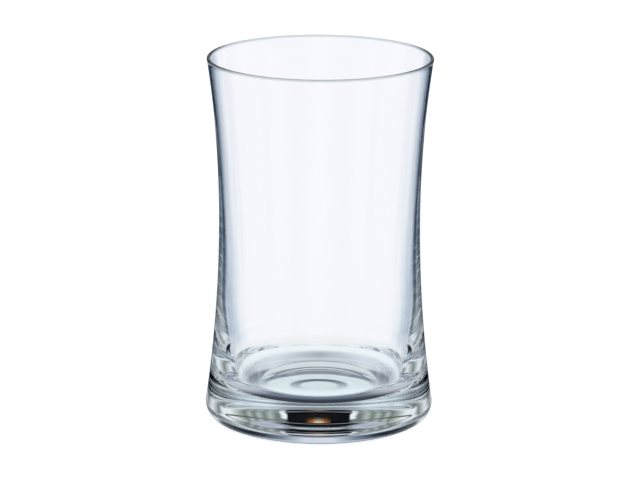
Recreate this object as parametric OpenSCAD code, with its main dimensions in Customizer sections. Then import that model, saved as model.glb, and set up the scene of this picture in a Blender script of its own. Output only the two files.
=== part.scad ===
// Juice glass: a waisted tumbler with a flared lip and a heavy base, blown as one piece of clear glass.
// Its profile runs in true arcs, each tangent to the next, and is turned once about the glass's axis.
// Origin on the axis at the resting plane, +Z up, millimetres.

/* [Outside] */
// Height from the table to the top of the lip
glass_h = 115; // [105:1:140]
// Diameter over the lip
rim_d = 70; // [60:0.5:85]
// How far the waist, the narrowest place outside, lies in from the lip
waist_in = 3.75; // [2:0.25:6]
// Height of the waist above the table
waist_z = 64; // [55:1:75]
// How far the heel, the widest place of the base, stands out from the waist
heel_out = 4.15; // [2:0.05:6]
// Radius that rounds the heel into the underside
heel_round = 5.5; // [4:0.5:8]

/* [Inside] */
// Thickness of the rounded lip
lip_t = 1.1; // [0.8:0.1:1.6]
// Thickness of the wall at the waist
wall_t = 1.95; // [1.2:0.05:4]
// Height at which the inside is upright: it flares above and narrows below
flare_z = 40; // [36:1:52]
// How far the inside narrows from there down to its round corner
narrow_in = 1.25; // [0.5:0.25:4]
// Radius between the inside wall and the inside floor
floor_round = 6.5; // [5:0.5:12]

/* [Base] */
// Thickness of the glass from the table to the inside floor
base_t = 11; // [9:0.5:16]
// Width of the flat ring that the glass stands on
foot_w = 10; // [6:0.5:14]
// Height of the hollow under the base, inside that ring
punt_h = 1.4; // [0.6:0.1:3]
// Width of the curved edge of the hollow, round its flat middle
punt_edge_w = 13; // [8:0.5:16]

/* [Hidden] */

// Sides of a circle in the profile and of the turned glass
arc_sides = 720;
turn_sides = 180;

glass_colour = [0.86, 0.92, 0.96, 0.35];

lip_r = lip_t / 2;
waist_r = rim_d / 2 - waist_in;
heel_r = waist_r + heel_out;
bore_r = waist_r - wall_t;

// Centres of the three round corners of the profile, as [radius, height]
lip_c = [rim_d / 2 - lip_r, glass_h - lip_r];
heel_c = [heel_r - heel_round, heel_round];
floor_c = [bore_r - narrow_in - floor_round, base_t + floor_round];

// Radius of an arc that is upright at the point start and touches, on its own outside,
// the circle of radius r about the point c. A negative r makes it touch on its inside.
function flare_radius(start, c, r) =
    let (out = c[0] - start[0], up = c[1] - start[1])
    (out * out + up * up - r * r) / (2 * (out + r));

// Point of the circle of radius r about c that lies towards the point aim
function towards(c, aim, r) = c + r * (aim - c) / norm(aim - c);

// Outside: an arc from the waist up to the lip, and one from the waist down to the heel
waist = [waist_r, waist_z];
upper_arc_r = flare_radius(waist, lip_c, lip_r);
lower_arc_r = flare_radius(waist, heel_c, heel_round);
upper_arc_c = waist + [upper_arc_r, 0];
lower_arc_c = waist + [lower_arc_r, 0];
lip_outer_end = towards(lip_c, upper_arc_c, lip_r);
heel_end = towards(heel_c, lower_arc_c, heel_round);

// Inside: an arc that flares up to the lip, and one that narrows down to the floor's round corner,
// whose radius comes out negative because its centre lies inwards
flare = [bore_r, flare_z];
inner_arc_r = flare_radius(flare, lip_c, -lip_r);
narrow_arc_r = flare_radius(flare, floor_c, floor_round);
inner_arc_c = flare + [inner_arc_r, 0];
narrow_arc_c = flare + [narrow_arc_r, 0];
lip_inner_end = towards(lip_c, inner_arc_c, -lip_r);
floor_end = towards(floor_c, narrow_arc_c, -floor_round);

// Underside: a shallow hollow, flat in the middle, whose edge falls in an arc to the flat ring
punt_r = heel_c[0] - foot_w;
punt_flat_r = punt_r - punt_edge_w;
punt_arc_r = (punt_edge_w * punt_edge_w + punt_h * punt_h) / (2 * punt_h);
punt_c = [punt_flat_r, punt_h - punt_arc_r];

module disc(c, r) {
    translate(c) circle(r = r, $fn = arc_sides);
}

// Half section of the glass as if it were solid, up to the lip
module outer_section() {
    difference() {
        polygon([
            [0, 0], [heel_c[0], 0], heel_c, heel_end,
            lip_outer_end, lip_c, lip_inner_end, [0, lip_inner_end[1]]
        ]);
        intersection() {
            disc(upper_arc_c, upper_arc_r);
            translate([0, waist_z]) square([rim_d, glass_h]);
        }
        intersection() {
            disc(lower_arc_c, lower_arc_r);
            square([rim_d, waist_z]);
        }
    }
    disc(heel_c, heel_round);
}

// Half section of the space that holds the drink
module inner_section() {
    difference() {
        polygon([[0, flare_z], flare, lip_inner_end, [0, lip_inner_end[1]]]);
        disc(inner_arc_c, inner_arc_r);
    }
    intersection() {
        disc(narrow_arc_c, -narrow_arc_r);
        translate([0, floor_end[1]]) square([bore_r, flare_z - floor_end[1]]);
    }
    translate([0, base_t]) square([floor_c[0], floor_end[1] - base_t]);
    disc(floor_c, floor_round);
}

// Half section of the hollow under the base
module punt_section() {
    square([punt_flat_r, punt_h]);
    intersection() {
        disc(punt_c, punt_arc_r);
        square([punt_r, punt_h]);
    }
}

module tumbler() {
    color(glass_colour)
    rotate_extrude($fn = turn_sides) {
        difference() {
            outer_section();
            inner_section();
            punt_section();
        }
        disc(lip_c, lip_r);
    }
}

tumbler();
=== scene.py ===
"""Juice glass: a waisted tumbler of clear glass with a flared lip and a heavy base, on a white studio table.

The glass is one turned surface, worked out from the same sizes as the CAD part and laid over its node.
"""

import math

import bpy
import numpy as np
from bpy.props import FloatProperty, FloatVectorProperty, IntProperty, PointerProperty
from mathutils import Color, Matrix, Vector


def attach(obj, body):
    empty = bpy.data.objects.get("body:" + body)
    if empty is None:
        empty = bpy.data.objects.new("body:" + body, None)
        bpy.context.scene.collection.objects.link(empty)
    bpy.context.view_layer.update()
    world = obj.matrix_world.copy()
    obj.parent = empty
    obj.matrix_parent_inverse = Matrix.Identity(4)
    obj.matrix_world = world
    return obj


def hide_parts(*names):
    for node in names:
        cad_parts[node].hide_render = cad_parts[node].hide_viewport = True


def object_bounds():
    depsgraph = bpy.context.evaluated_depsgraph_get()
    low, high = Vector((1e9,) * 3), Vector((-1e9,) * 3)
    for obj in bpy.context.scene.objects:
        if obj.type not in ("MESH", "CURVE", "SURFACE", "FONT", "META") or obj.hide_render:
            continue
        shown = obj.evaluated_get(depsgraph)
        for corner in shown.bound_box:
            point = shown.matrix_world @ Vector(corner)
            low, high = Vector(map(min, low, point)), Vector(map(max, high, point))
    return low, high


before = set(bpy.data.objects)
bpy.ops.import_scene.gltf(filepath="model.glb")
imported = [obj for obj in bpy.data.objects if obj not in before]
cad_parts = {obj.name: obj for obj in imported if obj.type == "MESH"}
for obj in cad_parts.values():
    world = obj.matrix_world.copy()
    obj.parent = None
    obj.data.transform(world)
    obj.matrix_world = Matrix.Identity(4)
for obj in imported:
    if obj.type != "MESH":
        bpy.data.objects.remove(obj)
CAD_BOX = [list(corner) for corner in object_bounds()]

bl_info = {
    "name": "Juice glass",
    "version": (1, 0, 0),
    "blender": (4, 5, 0),
    "location": "View3D > Sidebar > Juice glass",
    "description": "Builds a waisted juice glass and the white studio table it stands on",
    "category": "Object",
}


def linear(code):
    """Linear RGB of an sRGB colour written as RRGGBB."""
    srgb = np.array([int(code[i:i + 2], 16) for i in (0, 2, 4)]) / 255.0
    low = srgb / 12.92
    high = ((srgb + 0.055) / 1.055) ** 2.4
    return tuple(float(v) for v in np.where(srgb <= 0.04045, low, high))


def length(name, description, default):
    """A size in metres that the sidebar shows in the scene's unit."""
    return FloatProperty(
        name=name, description=description, default=default, min=0.0, precision=5, unit="LENGTH"
    )


def colour(name, description, code):
    """A colour that the sidebar shows as a swatch."""
    return FloatVectorProperty(
        name=name, description=description, default=linear(code), min=0.0, max=1.0, size=3, subtype="COLOR"
    )


def degrees(name, description, default):
    """An angle, given in degrees."""
    return FloatProperty(
        name=name, description=description, default=math.radians(default), subtype="ANGLE"
    )


class TumblerSizes(bpy.types.PropertyGroup):
    """Sizes of the glass, the same ones that the CAD source names."""

    height: length("Height", "From the table to the top of the lip", CAD_BOX[1][2] - CAD_BOX[0][2])
    rim_d: length("Rim diameter", "Over the lip", 0.070)
    waist_in: length("Waist inset", "How far the waist lies in from the lip", 0.00375)
    waist_z: length("Waist height", "Height of the narrowest place outside", 0.064)
    heel_out: length("Heel overhang", "How far the heel stands out from the waist", 0.00415)
    heel_round: length("Heel radius", "Rounds the heel into the underside", 0.0055)
    lip_t: length("Lip thickness", "Thickness of the rounded lip", 0.0011)
    wall_t: length("Wall thickness", "At the waist", 0.00195)
    flare_z: length("Flare height", "Where the inside is upright", 0.040)
    narrow_in: length("Inside narrowing", "From there down to the inside corner", 0.00125)
    floor_round: length("Inside corner radius", "Between the inside wall and floor", 0.0065)
    base_t: length("Base thickness", "From the table to the inside floor", 0.011)
    foot_w: length("Foot width", "Width of the flat ring that the glass stands on", 0.010)
    punt_h: length("Hollow height", "Height of the hollow under the base", 0.0014)
    punt_edge_w: length("Hollow edge", "Width of the curved edge round the hollow's flat middle", 0.013)
    sides: IntProperty(name="Sides", description="Steps round the axis", default=256, min=24, max=360)


class ClearGlassLook(bpy.types.PropertyGroup):
    """Finish of the clear glass."""

    tint: colour("Tint", "What white light turns to in the thick base", "DCEBF2")
    tint_density: FloatProperty(
        name="Tint density", description="Absorption per metre of glass", default=6.0, min=0.0
    )
    ior: FloatProperty(name="IOR", description="Refractive index of soda-lime glass", default=1.52)
    wave_size: length("Wave size", "Width of the ripples that blowing leaves in the wall", 0.024)
    wave_depth: length("Wave depth", "Depth of those ripples", 0.000004)
    lip: colour("Lip", "Grey of the lip, where its round edge catches the light", "E2E9EA")
    lip_z: length("Lip height", "Height at which the lip's round edge starts", 0.1141)
    lip_fade: length("Lip fade", "Height over which the wall goes over to the lip", 0.0004)
    lip_roughness: FloatProperty(name="Lip roughness", description="Of the lip alone", default=0.35)
    film_size: length("Film size", "Width of the patches of film that wiping leaves", 0.009)


class StudioLook(bpy.types.PropertyGroup):
    """Camera, table and the panels round the glass."""

    view_distance: length("View distance", "From the camera to the glass", 1.4)
    view_elevation: degrees("View elevation", "How far the camera looks down", 14.0)
    view_roll: degrees("View roll", "Lean of the picture", 0.29)
    aim_side: length("Aim side", "How far to the right of the axis the camera aims", 0.00016)
    aim_drop: length("Aim drop", "How far below half the glass's height it aims", 0.0006)
    lens: FloatProperty(name="Lens", description="Focal length in millimetres", default=253.5)
    polariser: FloatProperty(
        name="Polariser", description="Share that it takes off what the outside mirrors", default=0.7
    )
    table_glow: FloatProperty(
        name="Table glow", description="Light of the table that the camera alone sees", default=0.8
    )
    air_gap: length("Air gap", "Film of air between the foot and the table", 0.0001)
    table: colour("Table", "Colour of the white table", "F4F5F7")
    # Painted light and shade on the table, seen only by rays that come through or glance off the glass
    table_lit: colour("Backlit table", "Colour of the table's glow under the glass", "EEFAFF")
    table_shade: colour("Near shade", "Contact shadow on the camera's side of the foot", "7C8A9A")
    table_half: colour("Far shade", "Contact shadow on the backlit side of the foot", "D8DEE6")
    table_streak_shade: colour("Streak", "Far shadow in line with the middle of a backdrop", "848E9A")
    table_ring_shade: colour("Ring", "Shade of the hollow's curved edge on the table", "566276")
    table_deep: colour("Deep shade", "Table under the foot, seen through the base alone", "363C46")
    backdrop: colour("Backdrop", "Middle of the white backdrop", "F8F9FE")
    backdrop_side: colour("Backdrop side", "Where the backdrop dims towards the flag", "CADBE8")
    backdrop_end: colour("Backdrop end", "On both sides of the flag", "7492BA")
    flag: colour("Flag", "Dark flag at each end of the backdrop", "050B22")
    # Its black also paints the deep shadow and the dark spot of shade on the table
    card: colour("Dark card", "Card above the table's horizon", "0B0C10")
    dim: colour("Dim wall", "Studio wall beside the dark card", "78827E")
    wall: colour("Wall", "Studio wall further from the dark card", "B8C0BA")
    beam: colour("Beam", "Dark beam across the wall", "5A625E")
    overhead: colour("Overhead", "Soft light above the glass", "E8EEF4")
    ceiling: colour("Ceiling", "Above the soft light", "7A8488")
    strip: colour("Strip light", "Narrow lights beside the dark card", "F4F6FA")
    # Painted glint in the base: a warm light that only some rays see
    painted_glint: colour("Lamp", "Middle of the small warm lamp behind the glass", "FFE4B4")
    painted_glint_glow: colour("Ember", "Glow round that lamp", "F08A30")
    haze: colour("Haze", "Where the table meets the dark card", "DDE0EC")


def add_node(tree, kind, inputs=None, stops=None, **settings):
    """Adds a node: settings are its attributes, inputs maps sockets to values, colours or other sockets,
    and stops are the positions and colours of a ramp."""
    node = tree.nodes.new(kind)
    for key, value in settings.items():
        setattr(node, key, value)
    for key, value in (inputs or {}).items():
        if isinstance(value, bpy.types.NodeSocket):
            tree.links.new(value, node.inputs[key])
        else:
            node.inputs[key].default_value = (*value, 1.0) if isinstance(value, Color) else value
    if stops:
        ramp = node.color_ramp
        while len(ramp.elements) < len(stops):
            ramp.elements.new(0.5)
        for element, (position, rgb) in zip(ramp.elements, stops):
            element.position = position
            element.color = (*rgb, 1.0)
    return node


def arc(centre, radius, first, last, count):
    """Points of a circle's arc, from angle first to angle last, without the first point."""
    angle = np.linspace(first, last, count + 1)[1:]
    return np.column_stack([centre[0] + radius * np.cos(angle), centre[1] + radius * np.sin(angle)])


def line(start, end, count):
    """Evenly spaced points of a straight line, without the first point."""
    share = np.linspace(0.0, 1.0, count + 1)[1:, None]
    return np.asarray(start) + share * (np.asarray(end) - np.asarray(start))


def bearing(centre, point):
    """Angle of a point seen from a centre, from 0 to a full turn."""
    return math.atan2(point[1] - centre[1], point[0] - centre[0]) % (2.0 * math.pi)


def towards(centre, aim, radius):
    """Point of the circle of that radius about centre that lies towards aim."""
    return centre + radius * (aim - centre) / np.linalg.norm(aim - centre)


def flare_radius(start, centre, radius):
    """Radius of an arc that is upright at start and touches the circle of that radius about centre:
    with o and u the way out and up from start to centre, (o^2 + u^2 - radius^2) / (2 (o + radius))."""
    out, up = centre - start
    return (out * out + up * up - radius * radius) / (2.0 * (out + radius))


def tumbler_profile(size):
    """Half section of the glass as [radius, height], from the middle of the underside, round the heel,
    up the outside, over the lip and down the inside to the middle of the inside floor. Every part is a
    circle's arc or a straight line that is tangent to the next, apart from the edge of the hollow."""
    lip_r = size.lip_t / 2.0
    waist_r = size.rim_d / 2.0 - size.waist_in
    bore_r = waist_r - size.wall_t
    lip_c = np.array([size.rim_d / 2.0 - lip_r, size.height - lip_r])
    heel_c = np.array([waist_r + size.heel_out - size.heel_round, size.heel_round])
    corner_out = bore_r - size.narrow_in - size.floor_round
    corner_c = np.array([corner_out, size.base_t + size.floor_round])
    waist = np.array([waist_r, size.waist_z])
    flare = np.array([bore_r, size.flare_z])

    upper_r = flare_radius(waist, lip_c, lip_r)
    lower_r = flare_radius(waist, heel_c, size.heel_round)
    inner_r = flare_radius(flare, lip_c, -lip_r)
    narrow_r = -flare_radius(flare, corner_c, size.floor_round)
    upper_c = waist + [upper_r, 0.0]
    lower_c = waist + [lower_r, 0.0]
    inner_c = flare + [inner_r, 0.0]
    narrow_c = flare - [narrow_r, 0.0]
    lip_outer = towards(lip_c, upper_c, lip_r)
    lip_inner = towards(lip_c, inner_c, -lip_r)
    heel_end = towards(heel_c, lower_c, size.heel_round)

    punt_r = heel_c[0] - size.foot_w
    punt_flat_r = punt_r - size.punt_edge_w
    punt_arc_r = (size.punt_edge_w ** 2 + size.punt_h ** 2) / (2.0 * size.punt_h)
    punt_c = np.array([punt_flat_r, size.punt_h - punt_arc_r])
    half = math.pi / 2.0
    lip_end = bearing(lip_c, lip_inner)
    corner_turn = bearing(narrow_c, corner_c) - 2.0 * math.pi
    return np.concatenate([
        [[0.0, size.punt_h]],
        line((0.0, size.punt_h), (punt_flat_r, size.punt_h), 16),
        arc(punt_c, punt_arc_r, half, bearing(punt_c, (punt_r, 0.0)), 28),
        line((punt_r, 0.0), (heel_c[0], 0.0), 8),
        arc(heel_c, size.heel_round, -half, bearing(heel_c, heel_end), 44),
        arc(lower_c, lower_r, bearing(lower_c, heel_end), math.pi, 52),
        arc(upper_c, upper_r, math.pi, bearing(upper_c, lip_outer), 44),
        arc(lip_c, lip_r, bearing(lip_c, lip_outer) - 2.0 * math.pi, lip_end, 20),
        arc(inner_c, inner_r, bearing(inner_c, lip_inner), math.pi, 44),
        arc(narrow_c, narrow_r, 0.0, corner_turn, 24),
        arc(corner_c, size.floor_round, corner_turn, -half, 44),
        line((corner_c[0], size.base_t), (0.0, size.base_t), 20),
    ])


def turned_mesh(name, profile, sides):
    """Mesh of a profile turned about Z: point (r, z) goes to (r cos t, r sin t, z) for each step t.
    The profile's two ends lie on the axis and become one vertex each, so the surface is closed."""
    ring = profile[1:-1]
    turn = np.arange(sides) * (2.0 * math.pi / sides)
    x = np.outer(ring[:, 0], np.cos(turn))
    y = np.outer(ring[:, 0], np.sin(turn))
    z = np.repeat(ring[:, 1:], sides, axis=1)
    rows = len(ring)
    points = np.concatenate([
        [[0.0, 0.0, profile[0, 1]]],
        np.stack([x, y, z], axis=2).reshape(-1, 3),
        [[0.0, 0.0, profile[-1, 1]]],
    ])
    here = np.arange(sides)
    after = (here + 1) % sides
    row = 1 + sides * np.arange(rows - 1)[:, None]
    quads = np.stack([row + here, row + after, row + sides + after, row + sides + here], axis=2)
    first = np.stack([np.zeros(sides, int), 1 + after, 1 + here], axis=1)
    top = 1 + sides * (rows - 1)
    last = np.stack([np.full(sides, len(points) - 1), top + here, top + after], axis=1)
    mesh = bpy.data.meshes.new(name)
    faces = quads.reshape(-1, 4).tolist() + first.tolist() + last.tolist()
    mesh.from_pydata(points.tolist(), [], faces)
    mesh.polygons.foreach_set("use_smooth", np.ones(len(faces), bool))
    mesh.update()
    return mesh


def clear_glass(look):
    """Soda-lime glass, blown in a mould and fire-polished: clear, mirror smooth, with slow ripples in the
    wall that bend a little what is seen in it, and a cool tint that gathers in the thick base."""
    material = bpy.data.materials.new("clear_soda_lime_glass")
    material.use_nodes = True
    tree = material.node_tree
    tree.nodes.clear()
    place = add_node(tree, "ShaderNodeTexCoord")
    # Ripples run up the wall, so the pattern is drawn out six times along Z
    drawn = add_node(
        tree, "ShaderNodeMapping",
        {"Vector": place.outputs["Object"], "Scale": (1.0, 1.0, 1.0 / 6.0)},
    )
    ripple = add_node(
        tree, "ShaderNodeTexNoise",
        {"Vector": drawn.outputs["Vector"], "Scale": 1.0 / look.wave_size, "Detail": 1.0, "Roughness": 0.4},
    )
    bump = add_node(
        tree, "ShaderNodeBump",
        {"Height": ripple.outputs["Fac"], "Distance": look.wave_depth, "Strength": 1.0},
    )
    # Wiping leaves a faint film in patches
    film = add_node(
        tree, "ShaderNodeTexNoise",
        {"Vector": place.outputs["Object"], "Scale": 1.0 / look.film_size, "Detail": 4.0},
    )
    polish = add_node(
        tree, "ShaderNodeMapRange",
        {"Value": film.outputs["Fac"], "From Min": 0.35, "From Max": 0.8, "To Min": 0.0, "To Max": 0.012},
    )
    # The cut and melted lip is less clear than the wall, as it is rougher; its grey is painted light, a soft
    # grey line all round where its round edge catches the light
    part = add_node(tree, "ShaderNodeSeparateXYZ", {"Vector": place.outputs["Object"]})
    lip = add_node(
        tree, "ShaderNodeMapRange",
        {"Value": part.outputs["Z"], "From Min": look.lip_z, "From Max": look.lip_z + look.lip_fade},
    )
    grey = add_node(
        tree, "ShaderNodeMix",
        {"Factor": lip.outputs["Result"], "A": (1.0, 1.0, 1.0, 1.0), "B": look.lip},
        data_type="RGBA",
    )
    soft = add_node(
        tree, "ShaderNodeMath",
        {0: lip.outputs["Result"], 1: look.lip_roughness, 2: polish.outputs["Result"]},
        operation="MULTIPLY_ADD",
    )
    # Head-on mirror images hardly show in the photo, so their tint is dark
    glass = add_node(
        tree, "ShaderNodeBsdfPrincipled",
        {
            "Base Color": grey.outputs["Result"],
            "Roughness": soft.outputs[0],
            "IOR": look.ior,
            "Transmission Weight": 1.0,
            "Specular Tint": (0.15, 0.15, 0.15, 1.0),
            "Normal": bump.outputs["Normal"],
        },
    )
    depth = add_node(
        tree, "ShaderNodeVolumeAbsorption",
        {"Color": look.tint, "Density": look.tint_density},
    )
    add_node(
        tree, "ShaderNodeOutputMaterial",
        {"Surface": glass.outputs["BSDF"], "Volume": depth.outputs["Volume"]},
    )
    return material


class JuiceGlassTumbler(bpy.types.Operator):
    """Turns the glass and lays it over its CAD node"""

    bl_idname = "object.juice_glass_tumbler"
    bl_label = "Tumbler"

    def execute(self, context):
        size = context.scene.tumbler_sizes
        mesh = turned_mesh("tumbler_glass", tumbler_profile(size), size.sides)
        mesh.materials.append(clear_glass(context.scene.clear_glass_look))
        piece = bpy.data.objects.new("tumbler_glass", mesh)
        context.scene.collection.objects.link(piece)
        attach(piece, "root")
        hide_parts("tumbler")
        return {"FINISHED"}


def shares(reach, *stops):
    """Stops of a ramp that ends at reach: each place, in degrees or millimetres, becomes a share of it."""
    return [(place / reach, tone) for place, tone in stops]


def panels(first, last, count, even, odd):
    """Stops of a panelled wall: two tones by turns, evenly spaced from one angle to another."""
    angles = np.linspace(first, last, count)
    return [(float(angle), odd if i % 2 else even) for i, angle in enumerate(angles)]


def stack(tree, tone, *layers):
    """Tone with others laid over it in turn, each given with the share in which it covers those below."""
    for share, upper in layers:
        mix = add_node(tree, "ShaderNodeMix", {"Factor": share, "A": tone, "B": upper}, data_type="RGBA")
        tone = mix.outputs["Result"]
    return tone


def studio_world(look):
    """World of the studio as the glass sees it. Low down, a white backdrop stands in front and behind with a
    dark flag at each of its ends, which draws the dark edges of the glass, and a plainer one on the left and
    right. Above the table's horizon come a ledge, a dark card with a painted warm glint between two narrow
    lights, a panelled wall with a beam, the soft light overhead and the ceiling. The camera itself sees plain
    white."""
    world = bpy.data.worlds.new("studio_panels")
    world.use_nodes = True
    tree = world.node_tree
    tree.nodes.clear()
    ray = add_node(tree, "ShaderNodeLightPath")
    way = add_node(tree, "ShaderNodeTexCoord")
    part = add_node(tree, "ShaderNodeSeparateXYZ", {"Vector": way.outputs["Generated"]})
    turn = add_node(
        tree, "ShaderNodeMath", {0: part.outputs["X"], 1: part.outputs["Y"]}, operation="ARCTAN2"
    )
    # Angle from the line through the two main backdrops, as a share of a quarter turn
    quarter = 90.0
    folded = add_node(
        tree, "ShaderNodeMath", {0: turn.outputs[0], 1: math.radians(quarter)}, operation="PINGPONG"
    )
    aside = add_node(
        tree, "ShaderNodeMath", {0: folded.outputs[0], 1: math.radians(quarter)}, operation="DIVIDE"
    )
    rise = add_node(tree, "ShaderNodeMath", {0: part.outputs["Z"]}, operation="ARCSINE")

    # Tones round the studio, each at its degrees from the middle of a main backdrop
    beyond = (
        (31.5, look.flag),
        (35.5, look.backdrop_end),
        (39.5, look.backdrop_side),
        (44.0, look.backdrop),
        (58.0, look.backdrop),
        (62.0, look.backdrop_end),
        (65.0, look.backdrop_end),
        (70.0, look.backdrop),
    )
    shelf = ((49.0, look.card), *panels(57.0, 87.0, 3, look.strip, look.dim))
    bays = (
        *panels(14.6, 27.0, 7, look.dim, look.wall),
        (31.0, look.wall),
        (36.0, look.strip),
        (45.0, look.strip),
        *panels(52.0, 88.0, 4, look.dim, look.strip),
    )
    rounds = {
        "foot": (
            (7.0, look.backdrop),
            (14.0, look.backdrop_side),
            (19.5, look.backdrop_end),
            (23.5, look.flag),
            *beyond,
        ),
        "head": (
            (4.2, look.backdrop),
            (8.0, look.backdrop_side),
            (12.0, look.backdrop_end),
            (17.0, look.flag),
            *beyond,
        ),
        "ledge": ((6.0, look.haze), (25.0, look.card), *shelf),
        "mirrored_ledge": ((7.0, look.card), (10.0, look.haze), (25.0, look.card), *shelf),
        # Painted shade: the table's contact shadow tones, seen straight through the heel
        "heel": (
            (5.0, look.haze),
            (13.0, look.table_shade),
            (21.0, look.table_deep),
            (27.0, look.flag),
            *shelf,
        ),
        "card": ((11.0, look.card), (11.6, look.strip), (12.8, look.strip), (13.6, look.dim), *bays),
        "painted_glint": ((0.8, look.painted_glint), (2.0, look.painted_glint_glow)),
        "wall": ((10.3, look.card), (12.0, look.dim), *bays),
        "beam": (
            (10.3, look.card),
            (12.0, look.dim),
            (20.0, look.dim),
            (26.0, look.beam),
            (50.0, look.beam),
            (60.0, look.wall),
        ),
    }
    tone = {}
    for name, stops in rounds.items():
        ramp = add_node(tree, "ShaderNodeValToRGB", {"Fac": aside.outputs[0]}, shares(quarter, *stops))
        tone[name] = ramp.outputs["Color"]

    # Heights in degrees between which each of them takes over from what is below it
    heights = {
        "studio": (-38.0, -29.0),
        "head": (-20.0, -12.0),
        "ledge": (-7.0, -3.0),
        "card": (10.5, 13.0),
        "painted_glint": (16.2, 16.7),
        "wall": (16.5, 18.5),
        "painted_glint_end": (17.4, 18.6),
        "beam": (21.0, 22.0),
        "beam_end": (23.5, 24.5),
        "overhead": (26.0, 44.0),
        "ceiling": (59.0, 66.0),
    }
    above = {}
    for name, (start, end) in heights.items():
        step = add_node(
            tree, "ShaderNodeMapRange",
            {"Value": rise.outputs[0], "From Min": math.radians(start), "From Max": math.radians(end)},
            interpolation_type="SMOOTHSTEP",
        )
        above[name] = step.outputs["Result"]

    # What a ray met in the glass: mirrored twice or more, not at all, or bent by no more than the base
    twice = add_node(
        tree, "ShaderNodeMath", {0: ray.outputs["Glossy Depth"], 1: 1.5}, operation="GREATER_THAN"
    )
    straight = add_node(
        tree, "ShaderNodeMath", {0: ray.outputs["Glossy Depth"], 1: 0.5}, operation="LESS_THAN"
    )
    base_only = add_node(
        tree, "ShaderNodeMath", {0: ray.outputs["Transmission Depth"], 1: 2.5}, operation="LESS_THAN"
    )
    backdrop = stack(tree, tone["foot"], (above["head"], tone["head"]))
    # The ledge is seen in the base and in what the outside mirrors: through both walls the backdrop goes
    # on up to the dark card
    ledge = stack(tree, tone["ledge"], (twice.outputs[0], tone["mirrored_ledge"]))
    ledge = stack(tree, backdrop, (base_only.outputs[0], ledge))
    seen = stack(
        tree, backdrop,
        (above["ledge"], ledge),
        (above["card"], tone["card"]),
        (above["wall"], tone["wall"]),
    )
    # Painted glint: a small warm light in the dark card, seen only by rays that go through the base alone and
    # are mirrored once
    ahead = add_node(
        tree, "ShaderNodeMapRange",
        {"Value": aside.outputs[0], "From Min": 4.5 / quarter, "From Max": 1.5 / quarter},
    )
    once = add_node(
        tree, "ShaderNodeMath", {0: ahead.outputs["Result"], 1: twice.outputs[0]},
        operation="SUBTRACT", use_clamp=True,
    )
    once = add_node(
        tree, "ShaderNodeMath", {0: once.outputs[0], 1: base_only.outputs[0]}, operation="MULTIPLY"
    )
    painted_glint = stack(tree, seen, (once.outputs[0], tone["painted_glint"]))
    seen = stack(
        tree, seen,
        (above["painted_glint"], painted_glint),
        (above["painted_glint_end"], seen),
        (above["beam"], tone["beam"]),
        (above["beam_end"], tone["wall"]),
        (above["overhead"], look.overhead),
        (above["ceiling"], look.ceiling),
    )
    # Straight through the heel, with no mirroring, the dark flag goes on upwards, and between it and the haze
    # lies painted shade in the tones of the table's contact shadow. The light that falls on the table counts
    # with these rays
    direct = add_node(
        tree, "ShaderNodeMath", {0: straight.outputs[0], 1: base_only.outputs[0]}, operation="MULTIPLY"
    )
    heel = stack(tree, backdrop, (above["ledge"], tone["heel"]))
    seen = stack(tree, seen, (direct.outputs[0], heel))
    seen = stack(tree, look.table, (above["studio"], seen))
    # A polariser holds back what the outside of the glass mirrors, away from the middle of a backdrop:
    # these rays never went into the glass
    outside = add_node(
        tree, "ShaderNodeMath", {0: ray.outputs["Transmission Depth"], 1: 0.5}, operation="LESS_THAN"
    )
    mirrored = add_node(
        tree, "ShaderNodeMath", {0: outside.outputs[0], 1: ray.outputs["Is Glossy Ray"]},
        operation="MULTIPLY",
    )
    held_back = add_node(
        tree, "ShaderNodeMapRange",
        {
            "Value": aside.outputs[0],
            "From Min": 5.0 / quarter,
            "From Max": 13.0 / quarter,
            "To Max": -look.polariser,
        },
    )
    level = add_node(
        tree, "ShaderNodeMath", {0: mirrored.outputs[0], 1: held_back.outputs["Result"], 2: 1.0},
        operation="MULTIPLY_ADD",
    )
    studio = add_node(tree, "ShaderNodeBackground", {"Color": seen, "Strength": level.outputs[0]})
    plain = add_node(tree, "ShaderNodeBackground", {"Color": (1.0, 1.0, 1.0, 1.0), "Strength": 1.0})
    shown = add_node(
        tree, "ShaderNodeMixShader",
        {0: ray.outputs["Is Camera Ray"], 1: studio.outputs["Background"], 2: plain.outputs["Background"]},
    )
    add_node(tree, "ShaderNodeOutputWorld", {"Surface": shown.outputs["Shader"]})
    return world


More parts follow.
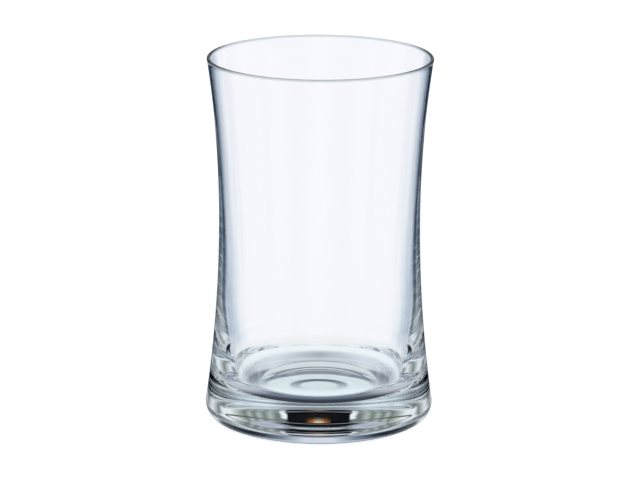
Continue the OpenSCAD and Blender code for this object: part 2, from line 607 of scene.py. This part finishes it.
def white_table(look):
    """Matt white laminate. The camera sees it at full white where no shadow falls. Rays that come through the
    glass see painted light and shade instead: a painted glow for its lit top under the glass, a painted
    contact shadow round the foot and painted rings of shade under the hollow, and further off they go on to
    the studio's backdrop, which stands for the bright table too. Rays that come through the base alone or
    glance off the outside see painted deep shade behind the base, with a small painted dark spot of shade."""
    material = bpy.data.materials.new("matt_white_table")
    material.use_nodes = True
    tree = material.node_tree
    tree.nodes.clear()
    ray = add_node(tree, "ShaderNodeLightPath")
    place = add_node(tree, "ShaderNodeTexCoord")
    matt = add_node(tree, "ShaderNodeBsdfDiffuse", {"Color": look.table})
    shine = add_node(
        tree, "ShaderNodeMath", {0: ray.outputs["Is Camera Ray"], 1: look.table_glow}, operation="MULTIPLY"
    )
    glow = add_node(
        tree, "ShaderNodeEmission", {"Color": (1.0, 1.0, 1.0, 1.0), "Strength": shine.outputs[0]}
    )
    lit = add_node(tree, "ShaderNodeAddShader", {0: matt.outputs["BSDF"], 1: glow.outputs["Emission"]})

    # Distance from the glass's axis, as a share of the reach in millimetres that the ramps span
    reach = 60.0
    away = add_node(tree, "ShaderNodeVectorMath", {0: place.outputs["Object"]}, operation="LENGTH")
    spread = add_node(
        tree, "ShaderNodeMath", {0: away.outputs["Value"], 1: reach / 1000.0}, operation="DIVIDE"
    )
    side = add_node(tree, "ShaderNodeSeparateXYZ", {"Vector": place.outputs["Object"]})
    wide = add_node(tree, "ShaderNodeMath", {0: side.outputs["X"]}, operation="ABSOLUTE")
    long = add_node(tree, "ShaderNodeMath", {0: side.outputs["Y"]}, operation="ABSOLUTE")
    narrow = add_node(
        tree, "ShaderNodeMath", {0: wide.outputs[0], 1: long.outputs[0]}, operation="MINIMUM"
    )
    none = (0.0, 0.0, 0.0)
    most = (0.85, 0.85, 0.85)
    full = (1.0, 1.0, 1.0)

    # Painted contact shadow: its far side is pale but for a streak in the middle, and its near side is paler
    # to the left and right
    off_line = add_node(
        tree, "ShaderNodeMapRange", {"Value": narrow.outputs[0], "From Min": 0.0, "From Max": 0.016}
    )
    beside = add_node(
        tree, "ShaderNodeMapRange",
        {"Value": wide.outputs[0], "From Min": 0.020, "From Max": 0.030, "To Max": 0.7},
    )
    back = add_node(
        tree, "ShaderNodeMapRange", {"Value": side.outputs["Y"], "From Min": -0.015, "From Max": 0.015}
    )
    far_shade = stack(tree, look.table_streak_shade, (off_line.outputs["Result"], look.table_half))
    near_shade = stack(tree, look.table_shade, (beside.outputs["Result"], look.table_half))
    shade = stack(tree, near_shade, (back.outputs["Result"], far_shade))
    contact = add_node(
        tree, "ShaderNodeValToRGB", {"Fac": spread.outputs[0]},
        shares(reach, (18.0, none), (25.5, full), (28.0, full), (36.0, none)),
    )
    # Painted shade of the hollow's edge: flattened rings on its far side, a thin one inside a broad one
    flattening = 1.73
    oval_reach = 40.0
    flat = add_node(
        tree, "ShaderNodeVectorMath", {0: place.outputs["Object"], 1: (1.0, flattening, 0.0)},
        operation="MULTIPLY",
    )
    oval = add_node(tree, "ShaderNodeVectorMath", {0: flat.outputs["Vector"]}, operation="LENGTH")
    oval_spread = add_node(
        tree, "ShaderNodeMath", {0: oval.outputs["Value"], 1: oval_reach / 1000.0}, operation="DIVIDE"
    )
    thin_ring = ((5.6, none), (6.8, full), (9.0, full), (10.2, none))
    broad_ring = ((16.6, none), (18.4, most), (25.0, most), (28.0, none))
    rings = add_node(
        tree, "ShaderNodeValToRGB", {"Fac": oval_spread.outputs[0]},
        shares(oval_reach, *thin_ring, *broad_ring),
    )
    far_half = add_node(
        tree, "ShaderNodeMapRange", {"Value": side.outputs["Y"], "From Min": -0.004, "From Max": 0.005}
    )
    ringed = add_node(
        tree, "ShaderNodeMath", {0: rings.outputs["Color"], 1: far_half.outputs["Result"]},
        operation="MULTIPLY",
    )
    # Rays that the inside corner mirrors twice see painted shade there, for the shade between the hollow and
    # the corner
    twice = add_node(
        tree, "ShaderNodeMath", {0: ray.outputs["Glossy Depth"], 1: 1.5}, operation="GREATER_THAN"
    )
    # Painted light and shade under the glass: the table's painted glow, with the painted shades laid over it
    ground = stack(
        tree, look.table_lit,
        (contact.outputs["Color"], shade),
        (ringed.outputs[0], look.table_ring_shade),
        (twice.outputs[0], look.table_shade),
    )

    # Through the base alone: painted deep shade, and right behind the base, on each of four sides, a painted
    # dark spot of shade about 7 mm wide
    deep = add_node(
        tree, "ShaderNodeValToRGB", {"Fac": spread.outputs[0]},
        shares(
            reach,
            (24.0, look.table_deep),
            (33.0, look.table_shade),
            (37.0, look.table_shade),
            (48.0, look.haze),
        ),
    )
    shade_spot_width = add_node(
        tree, "ShaderNodeMapRange", {"Value": narrow.outputs[0], "From Min": 0.0045, "From Max": 0.0028}
    )
    shade_spot_reach = add_node(
        tree, "ShaderNodeValToRGB", {"Fac": spread.outputs[0]},
        shares(reach, (42.4, none), (43.0, full), (47.0, full), (47.6, none)),
    )
    spot = add_node(
        tree, "ShaderNodeMath",
        {0: shade_spot_width.outputs["Result"], 1: shade_spot_reach.outputs["Color"]},
        operation="MULTIPLY",
    )
    shade_spotted = stack(tree, deep.outputs["Color"], (spot.outputs[0], look.card))
    # Rays that the heel mirrors once at most look into the foot's own painted shade, which reaches further
    shadow = add_node(
        tree, "ShaderNodeValToRGB", {"Fac": spread.outputs[0]},
        shares(
            reach,
            (24.0, look.table_deep),
            (33.0, look.table_shade),
            (36.5, look.card),
            (48.0, look.card),
            (52.0, look.haze),
        ),
    )
    dark = stack(
        tree, shadow.outputs["Color"],
        (beside.outputs["Result"], look.table_half),
        (twice.outputs[0], shade_spotted),
    )
    through = add_node(tree, "ShaderNodeBsdfTransparent")

    def near(tone, start, end):
        """Glow of that tone near the foot, painted light and shade, which gives way to what lies beyond
        between two distances.
        """
        glow = add_node(tree, "ShaderNodeEmission", {"Color": tone, "Strength": 1.0})
        off = add_node(
            tree, "ShaderNodeMapRange",
            {"Value": away.outputs["Value"], "From Min": start, "From Max": end},
            interpolation_type="SMOOTHSTEP",
        )
        mix = add_node(
            tree, "ShaderNodeMixShader",
            {0: off.outputs["Result"], 1: glow.outputs["Emission"], 2: through.outputs["BSDF"]},
        )
        return mix.outputs["Shader"]

    # Two crossings at most: in at the front of the base and out at its back, or none at all
    base_only = add_node(
        tree, "ShaderNodeMath", {0: ray.outputs["Transmission Depth"], 1: 2.5}, operation="LESS_THAN"
    )
    below = add_node(
        tree, "ShaderNodeMixShader",
        {
            0: base_only.outputs[0],
            1: near(ground, 0.028, 0.046),
            2: near(dark, 0.050, 0.062),
        },
    )
    bent = add_node(
        tree, "ShaderNodeMath",
        {0: ray.outputs["Is Glossy Ray"], 1: ray.outputs["Is Transmission Ray"]},
        operation="MAXIMUM",
    )
    shown = add_node(
        tree, "ShaderNodeMixShader",
        {0: bent.outputs[0], 1: lit.outputs["Shader"], 2: below.outputs["Shader"]},
    )
    add_node(tree, "ShaderNodeOutputMaterial", {"Surface": shown.outputs["Shader"]})
    return material


class JuiceGlassStage(bpy.types.Operator):
    """Sets up the camera, the white table and the panels round it"""

    bl_idname = "scene.juice_glass_stage"
    bl_label = "Stage"

    def execute(self, context):
        scene = context.scene
        look = scene.studio_look
        size = scene.tumbler_sizes
        camera = bpy.data.objects.new("photo_camera", bpy.data.cameras.new("photo_camera"))
        scene.collection.objects.link(camera)
        camera.data.lens = look.lens
        camera.data.sensor_width = 36.0
        camera.data.clip_end = 50.0
        aim = Vector((look.aim_side, 0.0, size.height / 2.0 - look.aim_drop))
        slope = look.view_elevation
        back = Vector((0.0, -math.cos(slope), math.sin(slope)))
        spot = aim + look.view_distance * back
        turn = (-back).to_track_quat("-Z", "Y").to_matrix().to_4x4()
        camera.matrix_world = Matrix.Translation(spot) @ turn @ Matrix.Rotation(look.view_roll, 4, "Z")
        scene.camera = camera

        # The film of air under a real foot keeps the underside's total reflection
        top = -look.air_gap
        far = 20.0
        mesh = bpy.data.meshes.new("table_top")
        corners = [(-far, -far, top), (far, -far, top), (far, far, top), (-far, far, top)]
        mesh.from_pydata(corners, [], [(0, 1, 2, 3)])
        mesh.materials.append(white_table(look))
        table = bpy.data.objects.new("table_top", mesh)
        scene.collection.objects.link(table)

        scene.world = studio_world(look)
        # Light is caught many times over in the thick base before it leaves the glass
        scene.cycles.max_bounces = 40
        scene.cycles.glossy_bounces = 32
        scene.cycles.transmission_bounces = 24
        scene.view_settings.view_transform = "Standard"
        return {"FINISHED"}


class JuiceGlassPanel(bpy.types.Panel):
    """Lists the sizes, the finish and the steps of the build"""

    bl_idname = "VIEW3D_PT_juice_glass"
    bl_label = "Juice glass"
    bl_space_type = "VIEW_3D"
    bl_region_type = "UI"
    bl_category = "Juice glass"

    def draw(self, context):
        scene = context.scene
        for group in (scene.tumbler_sizes, scene.clear_glass_look, scene.studio_look):
            box = self.layout.box()
            for key in group.__annotations__:
                box.prop(group, key)
        self.layout.operator(JuiceGlassTumbler.bl_idname)
        self.layout.operator(JuiceGlassStage.bl_idname)


CLASSES = (TumblerSizes, ClearGlassLook, StudioLook, JuiceGlassTumbler, JuiceGlassStage, JuiceGlassPanel)


def register():
    for cls in CLASSES:
        bpy.utils.register_class(cls)
    bpy.types.Scene.tumbler_sizes = PointerProperty(type=TumblerSizes)
    bpy.types.Scene.clear_glass_look = PointerProperty(type=ClearGlassLook)
    bpy.types.Scene.studio_look = PointerProperty(type=StudioLook)


def unregister():
    del bpy.types.Scene.studio_look
    del bpy.types.Scene.clear_glass_look
    del bpy.types.Scene.tumbler_sizes
    for cls in reversed(CLASSES):
        bpy.utils.unregister_class(cls)


def main():
    register()
    bpy.ops.scene.juice_glass_stage()
    bpy.ops.object.juice_glass_tumbler()


if __name__ == "__main__":
    main()
